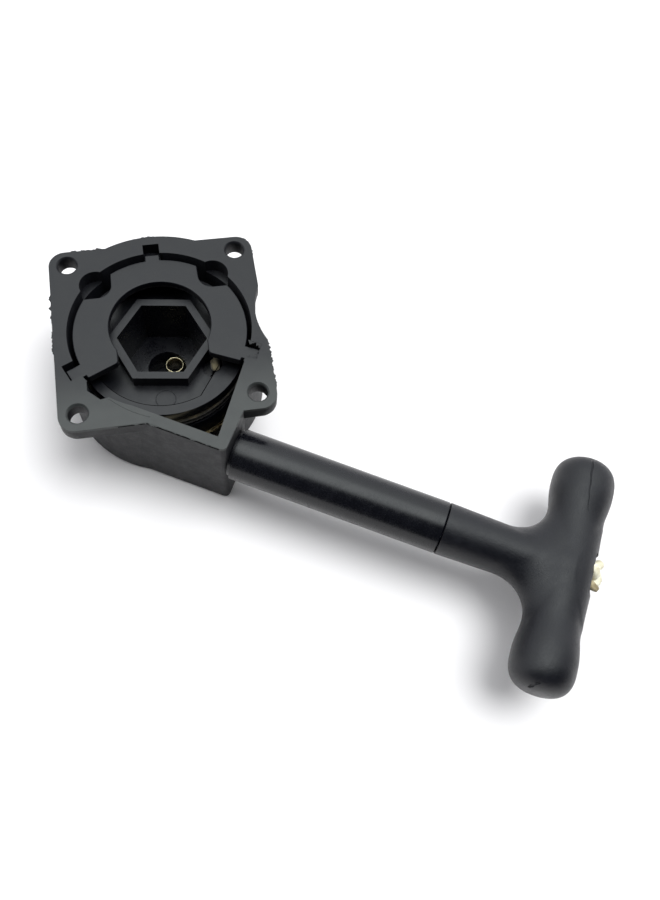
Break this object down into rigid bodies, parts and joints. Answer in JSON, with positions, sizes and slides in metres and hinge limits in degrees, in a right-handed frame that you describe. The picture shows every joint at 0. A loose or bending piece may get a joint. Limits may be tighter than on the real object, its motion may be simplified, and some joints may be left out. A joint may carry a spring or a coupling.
{
  "type": "recoil starter",
  "caption": "Recoil pull starter for a small model engine: flanged drum housing, cord spool with hexagonal bearing socket, guide tube and T handle.",
  "frame": {"origin": "centre of the four mounting screws, on the flange face that bolts to the engine", "axes": "+Z out of the flange face towards the engine, X and Y along the sides of the square flange; the cord pulls out 30 degrees below +X"},
  "size_m": [0.0966, 0.0945, 0.022],
  "materials": {
    "housing_nylon": "satin moulded nylon with flash on its edges",
    "retainer_nylon": "satin moulded nylon",
    "spool_nylon": "smooth semi-gloss moulded nylon, slightly oily",
    "tube_nylon": "smooth satin black tube",
    "handle_nylon": "fine matt moulded grip",
    "spring_steel": "bright oiled spring strip, slightly golden",
    "cord_fibre": "braided cream cord, dirty where wound"
  },
  "bodies": {
    "housing": {"housing": "housing_nylon", "retainer_plate": "retainer_nylon", "guide_tube": "tube_nylon", "recoil_spring": "spring_steel"},
    "spool": {"spool": "spool_nylon", "cord_coil": "cord_fibre", "spool_knot": "cord_fibre"},
    "cord_end": {"cord_run": "cord_fibre"},
    "handle": {"handle": "handle_nylon", "handle_knot": "cord_fibre"}
  },
  "joints": [
    {"name": "handle_pull", "type": "slide", "parent": "housing", "child": "cord_end", "axis": [0.866, -0.5, 0], "range_m": [0, 0.35], "stiffness_N_per_m": 11.4, "springref_m": -0.525},
    {"name": "spool_spin", "type": "hinge", "parent": "housing", "child": "spool", "pos_m": [0, 0, -0.0086], "axis": [0, 0, 1], "range_deg": [0, 1560], "deforming": ["recoil_spring"]},
    {"name": "handle_swivel", "type": "hinge", "parent": "cord_end", "child": "handle", "pos_m": [0.06385, -0.05361, -0.0086], "axis": [0.866, -0.5, 0], "continuous": true}
  ],
  "couplings": [
    {"joint": "spool_spin", "follows": "handle_pull", "rad_per_m": 77.52}
  ]
}
